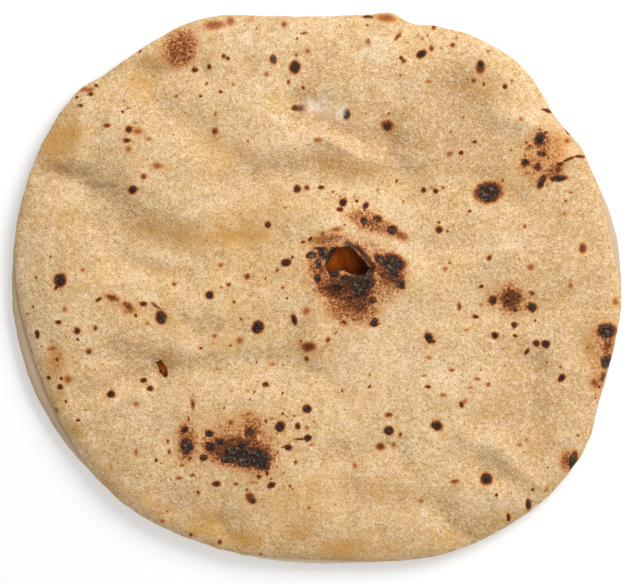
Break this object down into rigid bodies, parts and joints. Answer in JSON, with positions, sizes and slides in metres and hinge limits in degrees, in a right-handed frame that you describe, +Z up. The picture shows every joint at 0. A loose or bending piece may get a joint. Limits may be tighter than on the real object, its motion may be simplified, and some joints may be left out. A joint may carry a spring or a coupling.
{
  "type": "chapati flatbread",
  "caption": "Round puffed wholemeal flatbread with toasted spots, soft folds, a burst hole and a small tear in its top skin over a hollow pocket.",
  "frame": {"origin": "on the surface the bread lies on, under the middle of its outline", "axes": "+Z up through the top skin, +X along the longer width, to the viewer's right when the burst hole is right of the small tear"},
  "size_m": [0.1902, 0.1718, 0.0147],
  "materials": {
    "toasted_dough": "dry griddled wholemeal dough, dull, with brown and charred spots"
  },
  "bodies": {
    "root": {"chapati": "toasted_dough"}
  },
  "joints": []
}
